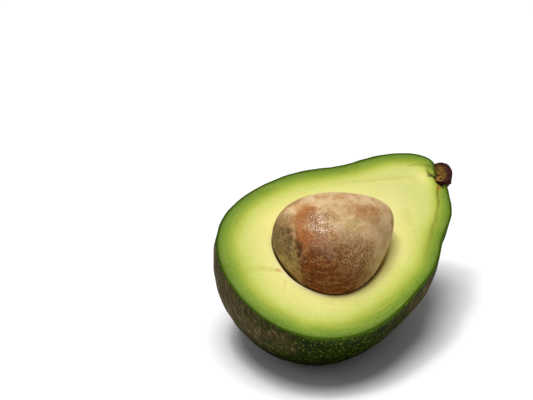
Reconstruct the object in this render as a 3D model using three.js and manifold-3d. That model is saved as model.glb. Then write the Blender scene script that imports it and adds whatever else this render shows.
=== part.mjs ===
// A ripe green avocado cut in half lengthwise: the half that keeps the seed and half of the stem button.
// It rests on its rounded back. Millimetres, +Z up. The origin is on the small flat spot that the half
// rests on, and +X is the level direction that the stem points along.
//
// The shape is worked out in the fruit's own frame: x along the fruit towards the stem, y across the cut
// face, and z out of the cut face, which lies at z = 0. A place on the skin is given by a direction from
// the middle of the cut face.

import * as THREE from "three";
import { mergeVertices } from "three/addons/utils/BufferGeometryUtils.js";
import Module from "manifold-3d";

const wasm = await Module();
wasm.setup();

// Outline of the cut face: distance from its middle to the skin, as waves in the angle from the stem
const MEAN_RADIUS = 40.86;
const BLUNT_END = 6.79; // bulk moved away from the stem
const LENGTHENING = 9.51;
const NECK = 2.68;
const SHOULDER = 1.32;
const TIP = 1.27;
const LEAN = { twice: 1.03, thrice: -0.39, fourfold: 0.75 }; // the +y side is fuller than the -y side

// The stem end is flattened at a slant, and dips where the stem button sits
const FLAT_END_DISTANCE = 36.22;
const FLAT_END_ANGLE = THREE.MathUtils.degToRad(-39.8);
const FLAT_END_SHARPNESS = 15;
const DIMPLE_DEPTH = 2.4;
const DIMPLE_WIDTH = 0.1; // radians, seen from the middle of the cut face

// Back of the half, below the cut
const BACK_DEPTH = 1.13; // depth of the back against half the fruit's width
const BACK_DEPTH_TO_STEM = 0.14; // deeper towards the stem
const BACK_FULLNESS = 0.056; // swell halfway between the cut and the deepest line
const BACK_FULLNESS_TO_STEM = -0.039;
const BACK_FULLNESS_AT_ENDS = -0.071;
const BACK_FULLNESS_SKEW = -0.101; // slimmer on the +y side of the neck and the -y side of the blunt end

// Low pebbled relief of the skin
const RELIEF_HEIGHT = 0.2;
const RELIEF_PITCH = 9.5;

// How the half lies, and the flat spot under it
const STEM_RISE = THREE.MathUtils.degToRad(8.8); // the stem end is higher
const FACE_LEAN = THREE.MathUtils.degToRad(19.2); // the cut face leans towards -Y
const FLAT_SPOT_DEPTH = 3.6; // what the rounded back would sink into the surface
const FLAT_SPOT_BLEND = 0.8;

const PEEL = 0.9;
const GAP = 0.3; // left between pieces that touch

const SEED_HALF_LENGTH = 21.5;
const SEED_RADIUS = 18.2;
const SEED_TAPER = 0.35; // narrower towards the stem
const SEED_FLATTENING = 0.91;
const SEED_CENTRE = new THREE.Vector3(-13.4, -2.5, 3.4);
const SEED_TURN = THREE.MathUtils.degToRad(-13.2); // within the cut face
const SEED_NOD = THREE.MathUtils.degToRad(15.3); // its stem side stands higher

// Stem button: its place, which way it points, and its outline as shares of its radius against heights
const BUTTON_CENTRE = new THREE.Vector3(42.8, -0.7, 0);
const BUTTON_ANGLE = THREE.MathUtils.degToRad(-43);
const BUTTON_RADIUS = 5.4;
const BUTTON_OUTLINE = [
  [0, -2.7],
  [0.34, -2.3],
  [0.66, -1.5],
  [0.9, -0.4],
  [1, 0.9],
  [0.99, 2.3],
  [0.88, 3.6],
  [0.67, 4.6],
  [0.36, 5.2],
  [0, 5.3],
];
const BUTTON_CUT_HEIGHT = 0.9; // its own cut stands a little proud of the cut face
const BUTTON_CUT_RISE = THREE.MathUtils.degToRad(11); // and rises outwards

// Faces from the stem end to the blunt end, and round the back from one edge of the cut to the other
const SKIN_FACES = { rows: 60, columns: 36 };
const INNER_FACES = { rows: 40, columns: 26 };
const END_CROWDING = 0.45; // rows lie closer together at the two ends

const UP = new THREE.Vector3(
  Math.sin(STEM_RISE),
  Math.cos(STEM_RISE) * Math.sin(FACE_LEAN),
  Math.cos(STEM_RISE) * Math.cos(FACE_LEAN),
);
const BUTTON_DIRECTION = BUTTON_CENTRE.clone().normalize();

// Direction of a place on the skin: how far it is from the stem end to the blunt end, from 0 to 1, and
// its angle round the fruit
function direction(along, round) {
  const fromStem = Math.PI * along - END_CROWDING * Math.sin(2 * Math.PI * along);
  const across = Math.sin(fromStem);
  return new THREE.Vector3(Math.cos(fromStem), across * Math.cos(round), across * Math.sin(round));
}

// Distance from the middle to the skin before the back is deepened
function radiusAt(dir) {
  const a = Math.acos(THREE.MathUtils.clamp(dir.x, -1, 1));
  const across = Math.max(Math.hypot(dir.y, dir.z), 1e-9);
  const side = dir.y / across;
  const egg =
    MEAN_RADIUS -
    BLUNT_END * Math.cos(a) +
    LENGTHENING * Math.cos(2 * a) +
    NECK * Math.cos(3 * a) +
    SHOULDER * Math.cos(4 * a) +
    TIP * Math.cos(5 * a);
  const lean =
    side *
    (LEAN.twice * Math.sin(2 * a) + LEAN.thrice * Math.sin(3 * a) + LEAN.fourfold * Math.sin(4 * a));
  const towardsFlat = dir.x * Math.cos(FLAT_END_ANGLE) + dir.y * Math.sin(FLAT_END_ANGLE);
  const flattened =
    (egg + lean) ** -FLAT_END_SHARPNESS +
    (Math.max(towardsFlat, 0) / FLAT_END_DISTANCE) ** FLAT_END_SHARPNESS;
  const dimple = DIMPLE_DEPTH * Math.exp(-((dir.angleTo(BUTTON_DIRECTION) / DIMPLE_WIDTH) ** 2));
  return flattened ** (-1 / FLAT_END_SHARPNESS) - dimple;
}

function smoothSkinPoint(dir) {
  const halfwayDown = -2 * dir.z * Math.hypot(dir.x, dir.y);
  const fullness =
    BACK_FULLNESS +
    BACK_FULLNESS_TO_STEM * dir.x +
    BACK_FULLNESS_AT_ENDS * dir.x ** 2 +
    BACK_FULLNESS_SKEW * dir.x * dir.y;
  const depth = BACK_DEPTH + BACK_DEPTH_TO_STEM * dir.x;
  const r = radiusAt(dir) * (1 + fullness * halfwayDown);
  return new THREE.Vector3(r * dir.x, r * dir.y, r * dir.z * depth);
}

// Outward normal of the skin, from two short steps across the direction
function skinNormal(dir) {
  const step = 1e-3;
  const helper = Math.abs(dir.z) < 0.9 ? new THREE.Vector3(0, 0, 1) : new THREE.Vector3(0, 1, 0);
  const first = new THREE.Vector3().crossVectors(helper, dir).normalize();
  const second = new THREE.Vector3().crossVectors(dir, first);
  const slope = (tangent) => {
    const ahead = smoothSkinPoint(dir.clone().addScaledVector(tangent, step).normalize());
    return ahead.sub(smoothSkinPoint(dir.clone().addScaledVector(tangent, -step).normalize()));
  };
  return slope(first).cross(slope(second)).normalize();
}

function relief(p) {
  const k = (2 * Math.PI) / RELIEF_PITCH;
  const waves =
    Math.sin(k * p.x) * Math.cos(k * p.y) +
    Math.sin(k * p.y) * Math.cos(k * p.z) +
    Math.sin(k * p.z) * Math.cos(k * p.x);
  return RELIEF_HEIGHT * waves;
}

// Lowest point of the rounded back as the half lies
function lowestPoint() {
  let lowest = null;
  const { rows, columns } = SKIN_FACES;
  for (let row = 1; row < rows; row++) {
    for (let column = 0; column <= columns; column++) {
      const dir = direction(row / rows, Math.PI * (1 + column / columns));
      const p = smoothSkinPoint(dir);
      if (!lowest || p.dot(UP) < lowest.dot(UP)) lowest = p;
    }
  }
  return lowest;
}

const REST_CENTRE = lowestPoint().addScaledVector(UP, FLAT_SPOT_DEPTH);

// Lifts what would sink below the resting surface, with a soft turn into the flat spot
function settle(p) {
  const height = p.clone().sub(REST_CENTRE).dot(UP);
  let settled = height;
  if (height < -FLAT_SPOT_BLEND) settled = 0;
  else if (height < FLAT_SPOT_BLEND) settled = (height + FLAT_SPOT_BLEND) ** 2 / (4 * FLAT_SPOT_BLEND);
  return p.addScaledVector(UP, settled - height);
}

// A point of the skin, or of a smooth surface that lies `inset` under it
function layerPoint(dir, inset) {
  const normal = skinNormal(dir);
  const p = smoothSkinPoint(dir);
  if (inset === 0) p.addScaledVector(normal, relief(p));
  return settle(p).addScaledVector(normal, -inset);
}

// Closed body under the skin: the half below the cut, or the whole round for use as a cutter
function fruitBody(inset, whole, faceCount) {
  const rows = faceCount.rows;
  const columns = whole ? 2 * faceCount.columns : faceCount.columns;
  const ring = whole ? columns : columns + 1;
  const positions = [];
  const add = (along, column) => {
    const p = layerPoint(direction(along, Math.PI * (1 + column / faceCount.columns)), inset);
    const onCut = column % faceCount.columns === 0;
    positions.push(p.x, p.y, onCut ? 0 : p.z);
  };
  add(0, 0);
  add(1, 0);
  for (let row = 1; row < rows; row++) {
    for (let column = 0; column < ring; column++) add(row / rows, column);
  }
  const at = (row, column) => {
    if (row === 0) return 0;
    if (row === rows) return 1;
    return 2 + (row - 1) * ring + (column % ring);
  };
  const faces = [];
  const face = (a, b, c) => {
    if (a !== b && b !== c && c !== a) faces.push(a, b, c);
  };
  for (let row = 0; row < rows; row++) {
    for (let column = 0; column < columns; column++) {
      face(at(row, column), at(row + 1, column), at(row + 1, column + 1));
      face(at(row, column), at(row + 1, column + 1), at(row, column + 1));
    }
    if (!whole) {
      face(at(row + 1, 0), at(row, 0), at(row, columns));
      face(at(row + 1, 0), at(row, columns), at(row + 1, columns));
    }
  }
  const geometry = new THREE.BufferGeometry();
  geometry.setAttribute("position", new THREE.Float32BufferAttribute(positions, 3));
  return geometry.setIndex(faces);
}

function toSolid(geometry) {
  const bare = geometry.clone();
  bare.deleteAttribute("normal");
  bare.deleteAttribute("uv");
  const merged = mergeVertices(bare, 1e-4);
  return new wasm.Manifold(
    new wasm.Mesh({
      numProp: 3,
      vertProperties: merged.attributes.position.array,
      triVerts: new Uint32Array(merged.index.array),
    }),
  );
}

function toMesh(name, solid, material) {
  const { vertProperties, triVerts } = solid.getMesh();
  const geometry = new THREE.BufferGeometry();
  geometry.setAttribute("position", new THREE.BufferAttribute(vertProperties, 3));
  geometry.setIndex(new THREE.BufferAttribute(triVerts, 1));
  geometry.computeVertexNormals();
  const mesh = new THREE.Mesh(geometry, material);
  mesh.name = name;
  return mesh;
}

// Egg of the seed, or of its hollow when it is grown by a clearance
function seedGeometry(grown, rings, sides) {
  const profile = [];
  for (let i = 0; i <= rings; i++) {
    const u = Math.PI * (1 - i / rings);
    const onAxis = i === 0 || i === rings;
    const radius = onAxis ? 0 : (SEED_RADIUS + grown) * Math.sin(u) * (1 - SEED_TAPER * Math.cos(u));
    profile.push(new THREE.Vector2(radius, (SEED_HALF_LENGTH + grown) * Math.cos(u)));
  }
  return new THREE.LatheGeometry(profile, sides)
    .rotateZ(-Math.PI / 2)
    .scale(1, 1, SEED_FLATTENING)
    .rotateY(-SEED_NOD)
    .rotateZ(SEED_TURN)
    .translate(...SEED_CENTRE);
}

// Turns a shape whose axis is +Y to the button's direction and puts it in its place
function placeAsButton(geometry) {
  return geometry.rotateZ(BUTTON_ANGLE - Math.PI / 2).translate(...BUTTON_CENTRE);
}

function buttonGeometry(grown) {
  const profile = BUTTON_OUTLINE.map(([share, height]) => {
    const radius = share === 0 ? 0 : share * BUTTON_RADIUS + grown;
    return new THREE.Vector2(radius, height + grown * Math.sign(height));
  });
  return placeAsButton(new THREE.LatheGeometry(profile, 32));
}

// Block that keeps what the knife left of the button
function buttonCut() {
  const side = 8 * BUTTON_RADIUS;
  const block = new THREE.BoxGeometry(side, side, side)
    .translate(0, 0, -side / 2)
    .rotateX(BUTTON_CUT_RISE)
    .translate(0, 0, BUTTON_CUT_HEIGHT);
  return placeAsButton(block);
}

function makeSkin() {
  const solid = toSolid(fruitBody(0, false, SKIN_FACES))
    .subtract(toSolid(fruitBody(PEEL, true, INNER_FACES)))
    .subtract(toSolid(buttonGeometry(GAP)));
  const material = new THREE.MeshStandardMaterial({ color: 0x2c4516, roughness: 0.42, metalness: 0 });
  return toMesh("skin", solid, material);
}

function makeFlesh() {
  const solid = toSolid(fruitBody(PEEL + GAP, false, INNER_FACES))
    .subtract(toSolid(seedGeometry(GAP, 24, 36)))
    .subtract(toSolid(buttonGeometry(GAP)));
  const material = new THREE.MeshStandardMaterial({ color: 0xd9da86, roughness: 0.5, metalness: 0 });
  return toMesh("flesh", solid, material);
}

function makeSeed() {
  const material = new THREE.MeshStandardMaterial({ color: 0x9d6a45, roughness: 0.55, metalness: 0 });
  return toMesh("seed", toSolid(seedGeometry(0, 28, 36)), material);
}

function makeStemButton() {
  const material = new THREE.MeshStandardMaterial({ color: 0x3d2a16, roughness: 0.8, metalness: 0 });
  return toMesh("stem_button", toSolid(buttonGeometry(0)).intersect(toSolid(buttonCut())), material);
}

const fruit = new THREE.Group();
fruit.add(makeSkin(), makeFlesh(), makeSeed(), makeStemButton());
fruit.rotation.set(FACE_LEAN, -STEM_RISE, 0, "YXZ");
fruit.position.copy(REST_CENTRE).applyEuler(fruit.rotation).negate();

const avocado = new THREE.Group();
avocado.add(fruit);

export default avocado;
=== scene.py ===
"""Half a ripe green avocado with its seed and half of its stem button, lying on its rounded back on a
pale floor in soft studio light. Lengths are in metres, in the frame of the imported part.

The fruit is worked out in its own frame: x along the fruit towards the stem, y across the cut face, and
z out of the cut face, which lies at z = 0.
"""

import math

import bmesh
import bpy
import numpy as np
from bpy.props import FloatProperty, FloatVectorProperty, IntProperty, PointerProperty
from mathutils import Matrix, Vector, kdtree, noise


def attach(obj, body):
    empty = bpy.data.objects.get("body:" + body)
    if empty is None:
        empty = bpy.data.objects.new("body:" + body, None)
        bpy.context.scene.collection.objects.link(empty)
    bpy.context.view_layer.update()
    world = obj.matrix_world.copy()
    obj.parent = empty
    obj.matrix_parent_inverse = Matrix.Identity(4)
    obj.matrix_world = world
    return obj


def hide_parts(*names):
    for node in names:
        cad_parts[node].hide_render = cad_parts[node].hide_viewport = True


bl_info = {
    "name": "Halved Avocado",
    "version": (1, 0, 0),
    "blender": (4, 5, 0),
    "location": "View3D > Sidebar > Avocado",
    "description": "Adds half an avocado with its seed, and a plain stage for it",
    "category": "Add Mesh",
}

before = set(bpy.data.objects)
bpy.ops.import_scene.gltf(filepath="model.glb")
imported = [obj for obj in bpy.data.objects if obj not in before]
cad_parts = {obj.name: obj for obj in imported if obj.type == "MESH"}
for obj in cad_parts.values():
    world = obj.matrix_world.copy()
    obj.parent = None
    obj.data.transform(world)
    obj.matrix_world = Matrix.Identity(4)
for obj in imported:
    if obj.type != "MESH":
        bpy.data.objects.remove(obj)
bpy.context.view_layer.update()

MM = 0.001
BODY = "root"


def srgb(red, green, blue):
    """Linear colour for a display colour given from 0 to 255."""
    shares = [channel / 255 for channel in (red, green, blue)]
    return tuple(s / 12.92 if s <= 0.04045 else ((s + 0.055) / 1.055) ** 2.4 for s in shares)


# Outline of the cut face: distance from its middle to the skin, as waves in the angle from the stem.
# They give in turn the mean, the blunt end, the length, the neck, the shoulder and the tip.
OUTLINE_WAVES = np.array([40.86, -6.79, 9.51, 2.68, 1.32, 1.27]) * MM
LEAN_WAVES = np.array([0.0, 0.0, 1.03, -0.39, 0.75]) * MM

# Slanted flat stem end, and the dimple that the stem button sits in
FLAT_END_DISTANCE = 36.22 * MM
FLAT_END_ANGLE = math.radians(-39.8)
FLAT_END_SHARPNESS = 15
DIMPLE_DEPTH = 2.4 * MM
DIMPLE_WIDTH = 0.1

# Back of the half, below the cut
BACK_DEPTH = 1.13
BACK_DEPTH_TO_STEM = 0.14
BACK_FULLNESS = 0.056
BACK_FULLNESS_TO_STEM = -0.039
BACK_FULLNESS_AT_ENDS = -0.071
BACK_FULLNESS_SKEW = -0.101

RELIEF_HEIGHT = 0.07 * MM
RELIEF_PITCH = 9.5 * MM

STEM_RISE = math.radians(8.8)
FACE_LEAN = math.radians(19.2)
FLAT_SPOT_DEPTH = 3.6 * MM
FLAT_SPOT_BLEND = 0.8 * MM

SEED_HALF_LENGTH = 21.5 * MM
SEED_RADIUS = 18.2 * MM
SEED_TAPER = 0.35
SEED_FLATTENING = 0.91
SEED_CENTRE = np.array([-13.4, -2.5, 3.4]) * MM
SEED_TURN = math.radians(-13.2)
SEED_NOD = math.radians(15.3)

BUTTON_CENTRE = np.array([42.8, -0.7, 0.0]) * MM
BUTTON_ANGLE = math.radians(-43)
BUTTON_RADIUS = 5.4 * MM
BUTTON_BOTTOM = -2.7 * MM
BUTTON_TOP = 5.3 * MM
BUTTON_WIDEST = 1.4 * MM
BUTTON_CUT_HEIGHT = 0.9 * MM
BUTTON_CUT_RISE = math.radians(11)
BUTTON_BURIED = -0.9 * MM

FRUIT_TURN = np.array(Matrix.Rotation(-STEM_RISE, 3, "Y") @ Matrix.Rotation(FACE_LEAN, 3, "X"))
SEED_AXES = np.array(Matrix.Rotation(SEED_TURN, 3, "Z") @ Matrix.Rotation(-SEED_NOD, 3, "Y"))
UP = FRUIT_TURN[2]


def unit(vectors):
    return vectors / np.linalg.norm(vectors, axis=-1, keepdims=True)


def smoothstep(low, high, value):
    share = np.clip((value - low) / (high - low), 0, 1)
    return share * share * (3 - 2 * share)


def noise_at(points, size, seed=0):
    """Smooth noise from about -1 to 1, whose bumps are about `size` across."""
    shifted = points / size + 17.3 * (seed + 1)
    return np.array([noise.noise(Vector(p)) for p in shifted])


def direction(longitude, dip):
    """Direction from the middle of the cut face: round from the stem, and down below the cut."""
    level = np.cos(dip)
    return np.stack([np.cos(longitude) * level, np.sin(longitude) * level, -np.sin(dip)], -1)


def radius_at(d):
    """Distance from the middle to the skin before the back is deepened."""
    a = np.arccos(np.clip(d[:, 0], -1, 1))
    across = np.maximum(np.hypot(d[:, 1], d[:, 2]), 1e-9)
    egg = sum(wave * np.cos(count * a) for count, wave in enumerate(OUTLINE_WAVES))
    lean = d[:, 1] / across * sum(wave * np.sin(count * a) for count, wave in enumerate(LEAN_WAVES))
    towards_flat = d[:, 0] * math.cos(FLAT_END_ANGLE) + d[:, 1] * math.sin(FLAT_END_ANGLE)
    # Lengths are taken against the flat end's distance, so that the high powers stay near one
    share = (egg + lean) / FLAT_END_DISTANCE
    flattened = share**-FLAT_END_SHARPNESS + np.maximum(towards_flat, 0) ** FLAT_END_SHARPNESS
    from_button = np.arccos(np.clip(d @ unit(BUTTON_CENTRE), -1, 1))
    dimple = DIMPLE_DEPTH * np.exp(-((from_button / DIMPLE_WIDTH) ** 2))
    return FLAT_END_DISTANCE * flattened ** (-1 / FLAT_END_SHARPNESS) - dimple


def smooth_skin(d):
    """Places on the skin without its relief, in the fruit's frame."""
    x, y, z = d.T
    halfway_down = -2 * z * np.hypot(x, y)
    at_ends = BACK_FULLNESS_AT_ENDS * x**2
    fullness = BACK_FULLNESS + BACK_FULLNESS_TO_STEM * x + at_ends + BACK_FULLNESS_SKEW * x * y
    r = radius_at(d) * (1 + fullness * halfway_down)
    return np.stack([r * x, r * y, r * z * (BACK_DEPTH + BACK_DEPTH_TO_STEM * x)], -1)


def skin_normal(d):
    step = 1e-3
    helper = np.where(np.abs(d[:, 2:]) < 0.9, [[0.0, 0.0, 1.0]], [[0.0, 1.0, 0.0]])
    first = unit(np.cross(helper, d))
    second = np.cross(d, first)
    slopes = [smooth_skin(unit(d + step * t)) - smooth_skin(unit(d - step * t)) for t in (first, second)]
    return unit(np.cross(*slopes))


def low_relief(p):
    k = 2 * math.pi / RELIEF_PITCH
    x, y, z = k * p.T
    return RELIEF_HEIGHT * (np.sin(x) * np.cos(y) + np.sin(y) * np.cos(z) + np.sin(z) * np.cos(x))


def rest_centre():
    """Middle of the flat spot that the half rests on."""
    along, round_back = np.meshgrid(np.arange(1, 60) / 60, np.arange(37) / 36, indexing="ij")
    from_stem = math.pi * along - 0.45 * np.sin(2 * math.pi * along)
    angle = math.pi * (1 + round_back)
    across = np.sin(from_stem)
    d = np.stack([np.cos(from_stem), across * np.cos(angle), across * np.sin(angle)], -1).reshape(-1, 3)
    back = smooth_skin(d)
    return back[np.argmin(back @ UP)] + UP * FLAT_SPOT_DEPTH


REST_CENTRE = rest_centre()


def settle(points):
    """Lifts what would sink below the resting surface, with a soft turn into the flat spot."""
    height = (points - REST_CENTRE) @ UP
    turning = (height + FLAT_SPOT_BLEND) ** 2 / (4 * FLAT_SPOT_BLEND)
    settled = np.where(height < FLAT_SPOT_BLEND, turning, height)
    settled = np.where(height < -FLAT_SPOT_BLEND, 0, settled)
    return points + (settled - height)[:, None] * UP


def to_world(points):
    return (points - REST_CENTRE) @ FRUIT_TURN.T


def seed_surface(d, grown=0.0):
    """Places on the seed for directions in the seed's own frame, whose x runs to its narrow end."""
    reach = (SEED_RADIUS + grown) * (1 - SEED_TAPER * d[:, 0])
    local = [(SEED_HALF_LENGTH + grown) * d[:, 0], reach * d[:, 1], SEED_FLATTENING * reach * d[:, 2]]
    return np.stack(local, -1) @ SEED_AXES.T + SEED_CENTRE


def inside_seed(points, grown):
    q = (points - SEED_CENTRE) @ SEED_AXES
    along = q[:, 0] / (SEED_HALF_LENGTH + grown)
    reach = (SEED_RADIUS + grown) * np.sqrt(np.clip(1 - along**2, 0, 1)) * (1 - SEED_TAPER * along)
    return (np.abs(along) < 1) & (np.hypot(q[:, 1], q[:, 2] / SEED_FLATTENING) < reach)


def hollow_point(start, d, grown):
    """Where lines from `start` along `d` leave the grown seed."""
    near, far = np.zeros(len(d)), np.full(len(d), 2 * SEED_HALF_LENGTH)
    for _ in range(30):
        middle = (near + far) / 2
        within = inside_seed(start + d * middle[:, None], grown)
        near, far = np.where(within, middle, near), np.where(within, far, middle)
    return start + d * near[:, None]


def ring_faces(rings, around):
    """Four-sided faces between rings of points that each close on themselves."""
    ring = np.arange(rings - 1)[:, None] * around
    here = np.arange(around)[None, :]
    after = (here + 1) % around
    corners = [ring + here, ring + after, ring + around + after, ring + around + here]
    return np.stack(corners, -1).reshape(-1, 4).tolist()


def ringed_body(rings):
    """Points and faces of a closed body made of rings, with a fan at each end."""
    around = len(rings[0])
    points = np.concatenate([*rings, rings[0].mean(0)[None], rings[-1].mean(0)[None]])
    first, last = len(points) - 2, len(points) - 1
    end = (len(rings) - 1) * around
    faces = ring_faces(len(rings), around)
    for here in range(around):
        after = (here + 1) % around
        faces.append([first, after, here])
        faces.append([last, end + here, end + after])
    return points, faces


def ring_values(values):
    """One value for each point of a ringed body, whose two end points take their ring's mean."""
    return np.concatenate([*values, [np.mean(values[0])], [np.mean(values[-1])]])


def add_piece(name, points, faces, masks, material, node):
    """Puts a mesh in the scene with its masks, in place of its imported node."""
    mesh = bpy.data.meshes.new(name)
    mesh.from_pydata(points.tolist(), [], faces)
    tidy = bmesh.new()
    tidy.from_mesh(mesh)
    bmesh.ops.recalc_face_normals(tidy, faces=tidy.faces)
    tidy.to_mesh(mesh)
    tidy.free()
    mesh.shade_smooth()
    mesh.set_sharp_from_angle(angle=math.radians(50))
    for mask, values in masks.items():
        layer = mesh.attributes.new(mask, "FLOAT", "POINT")
        layer.data.foreach_set("value", np.asarray(values, np.float32))
    mesh.materials.append(material)
    piece = bpy.data.objects.new(name, mesh)
    bpy.context.collection.objects.link(piece)
    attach(piece, BODY)
    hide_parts(node)
    return piece


def strand_mask(points, route, width):
    """How strongly each point of the cut face is on a strand, whose route gives x, y and strength."""
    mask = np.zeros(len(points))
    for start, end in zip(route[:-1], route[1:]):
        first, last = np.array(start[:2]) * MM, np.array(end[:2]) * MM
        run = last - first
        share = np.clip((points[:, :2] - first) @ run / (run @ run), 0, 1)
        gone = np.linalg.norm(points[:, :2] - first - share[:, None] * run, axis=1)
        strength = start[2] + share * (end[2] - start[2])
        mask = np.maximum(mask, strength * (1 - smoothstep(0.1 * width, width, gone)))
    return mask


# Shader helpers


def feed(tree, made, inputs):
    """Gives each named input of a node a value or another node's socket."""
    for socket, value in inputs.items():
        if isinstance(value, bpy.types.NodeSocket):
            tree.links.new(value, made.inputs[socket])
        else:
            made.inputs[socket].default_value = value


def node(tree, kind, inputs=None, **settings):
    made = tree.nodes.new(kind)
    for setting, value in settings.items():
        setattr(made, setting, value)
    feed(tree, made, inputs or {})
    return made


def opaque(colour):
    return (*colour[:3], 1.0)


def mix(tree, factor, first, second):
    """Socket of a colour mix; each colour is a socket or a colour value."""
    colours = [c if isinstance(c, bpy.types.NodeSocket) else opaque(c) for c in (first, second)]
    inputs = {0: factor, 6: colours[0], 7: colours[1]}
    return node(tree, "ShaderNodeMix", inputs, data_type="RGBA").outputs[2]


def maths(tree, operation, first, second):
    return node(tree, "ShaderNodeMath", {0: first, 1: second}, operation=operation).outputs[0]


def times(tree, first, second):
    return maths(tree, "MULTIPLY", first, second)


def plus(tree, first, second):
    return maths(tree, "ADD", first, second)


def graded(tree, base, share, amount):
    """Base value with an amount added where the share is one."""
    return plus(tree, base, times(tree, share, amount))


def between(tree, value, low, high):
    """Value taken from low..high to 0..1 with soft ends."""
    inputs = {"Value": value, "From Min": low, "From Max": high}
    return node(tree, "ShaderNodeMapRange", inputs, interpolation_type="SMOOTHSTEP").outputs[0]


def mask(tree, name):
    return node(tree, "ShaderNodeAttribute", attribute_name=name).outputs["Fac"]


def layered(tree, colour, layers):
    """Colour under layers, each given as a mask or its name, a strength and a colour."""
    for share, strength, layer in layers:
        if isinstance(share, str):
            share = mask(tree, share)
        if strength != 1:
            share = times(tree, share, strength)
        colour = mix(tree, share, colour, layer)
    return colour


def ramp(tree, factor, stops):
    """Colour ramp; each stop is a place from 0 to 1 and a colour."""
    made = node(tree, "ShaderNodeValToRGB", {"Fac": factor})
    elements = made.color_ramp.elements
    while len(elements) < len(stops):
        elements.new(0.5)
    for element, (place, colour) in zip(elements, stops):
        element.position = place
        element.color = opaque(colour)
    return made.outputs["Color"]


def object_place(tree):
    return node(tree, "ShaderNodeTexCoord").outputs["Object"]


def texture(tree, place, scale, detail):
    """Noise from 0 to 1, with this many bumps in a metre."""
    inputs = {"Vector": place, "Scale": scale, "Detail": detail}
    return node(tree, "ShaderNodeTexNoise", inputs).outputs["Fac"]


def stretched_texture(tree, place, scales, detail):
    """Noise from 0 to 1, with its own number of bumps in a metre along each axis."""
    stretched = node(tree, "ShaderNodeMapping", {"Vector": place, "Scale": scales}).outputs[0]
    return texture(tree, stretched, 1.0, detail)


def bump(tree, height, distance, strength):
    inputs = {"Height": height, "Distance": distance, "Strength": strength}
    return node(tree, "ShaderNodeBump", inputs).outputs["Normal"]


def new_group(name, numbers, results):
    """Empty shader group that takes a vector and named numbers, with its input and output sockets."""
    group = bpy.data.node_groups.new(name, "ShaderNodeTree")
    group.interface.new_socket("Vector", in_out="INPUT", socket_type="NodeSocketVector")
    for socket in numbers:
        group.interface.new_socket(socket, in_out="INPUT", socket_type="NodeSocketFloat")
    for socket in results:
        group.interface.new_socket(socket, in_out="OUTPUT", socket_type="NodeSocketFloat")
    given = group.nodes.new("NodeGroupInput")
    result = group.nodes.new("NodeGroupOutput")
    return group, given.outputs, result.inputs


def mottle_group(name):
    """Soft uneven blotches, with their edges broken by finer noise."""
    numbers = ["Blotch Size", "Low", "High", "Roughness"]
    tree, given, result = new_group(name, numbers, ["Mask"])
    inputs = {
        "Vector": given["Vector"],
        "Scale": maths(tree, "DIVIDE", 1.0, given["Blotch Size"]),
        "Detail": 4.0,
        "Roughness": given["Roughness"],
    }
    blotches = node(tree, "ShaderNodeTexNoise", inputs).outputs["Fac"]
    tree.links.new(between(tree, blotches, given["Low"], given["High"]), result["Mask"])
    return tree


FLECK_WOBBLE = 0.6 * MM


def fleck_group(name):
    """Small flecks scattered at random, some left out, with a tone for each."""
    tree, given, result = new_group(name, ["Pitch", "Radius", "Left Out"], ["Mask", "Tone"])
    inputs = {"Vector": given["Vector"], "Scale": 900.0, "Detail": 2.0}
    wobble = node(tree, "ShaderNodeTexNoise", inputs).outputs["Color"]
    inputs = {0: wobble, 1: (FLECK_WOBBLE,) * 3, 2: given["Vector"]}
    moved = node(tree, "ShaderNodeVectorMath", inputs, operation="MULTIPLY_ADD").outputs[0]
    scale = maths(tree, "DIVIDE", 1.0, given["Pitch"])
    cells = node(tree, "ShaderNodeTexVoronoi", {"Vector": moved, "Scale": scale}).outputs
    tone = node(tree, "ShaderNodeSeparateColor", {"Color": cells["Color"]}).outputs
    size = times(tree, given["Radius"], plus(tree, tone["Green"], 0.5))
    outside = between(tree, cells["Distance"], times(tree, size, 0.35), size)
    inside = maths(tree, "SUBTRACT", 1.0, outside)
    kept = maths(tree, "GREATER_THAN", tone["Red"], given["Left Out"])
    tree.links.new(times(tree, inside, kept), result["Mask"])
    tree.links.new(tone["Blue"], result["Tone"])
    return tree


def grouped(tree, name, build, inputs):
    """Outputs of a shader group in a material; the group is built when it is first asked for."""
    group = bpy.data.node_groups.get(name) or build(name)
    return node(tree, "ShaderNodeGroup", inputs, node_tree=group).outputs


def mottle(tree, vector, size, low=0.4, high=0.6, roughness=0.6):
    inputs = {"Vector": vector, "Blotch Size": size, "Low": low, "High": high, "Roughness": roughness}
    return grouped(tree, "Natural mottle", mottle_group, inputs)["Mask"]


def flecks(tree, vector, pitch, radius, left_out):
    inputs = {"Vector": vector, "Pitch": pitch, "Radius": radius, "Left Out": left_out}
    return grouped(tree, "Scattered flecks", fleck_group, inputs)


def new_material(name):
    """Material with an empty tree, its Principled BSDF and its output."""
    material = bpy.data.materials.new(name)
    material.use_nodes = True
    tree = material.node_tree
    tree.nodes.clear()
    shader = node(tree, "ShaderNodeBsdfPrincipled")
    node(tree, "ShaderNodeOutputMaterial", {"Surface": shader.outputs["BSDF"]})
    return material, tree, shader


# Colours of the flesh from the skin inwards, at these depths
FLESH_LAYERS = (
    (0.0 * MM, srgb(22, 36, 4)),
    (0.4 * MM, srgb(54, 76, 12)),
    (0.9 * MM, srgb(86, 114, 20)),
    (1.8 * MM, srgb(106, 136, 26)),
    (3.0 * MM, srgb(121, 148, 32)),
    (4.4 * MM, srgb(146, 165, 46)),
    (5.8 * MM, srgb(173, 184, 66)),
    (7.6 * MM, srgb(194, 201, 92)),
    (10.0 * MM, srgb(210, 211, 114)),
    (13.0 * MM, srgb(226, 220, 132)),
    (20.0 * MM, srgb(236, 228, 150)),
)
DEEPEST_LAYER = FLESH_LAYERS[-1][0]


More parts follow.
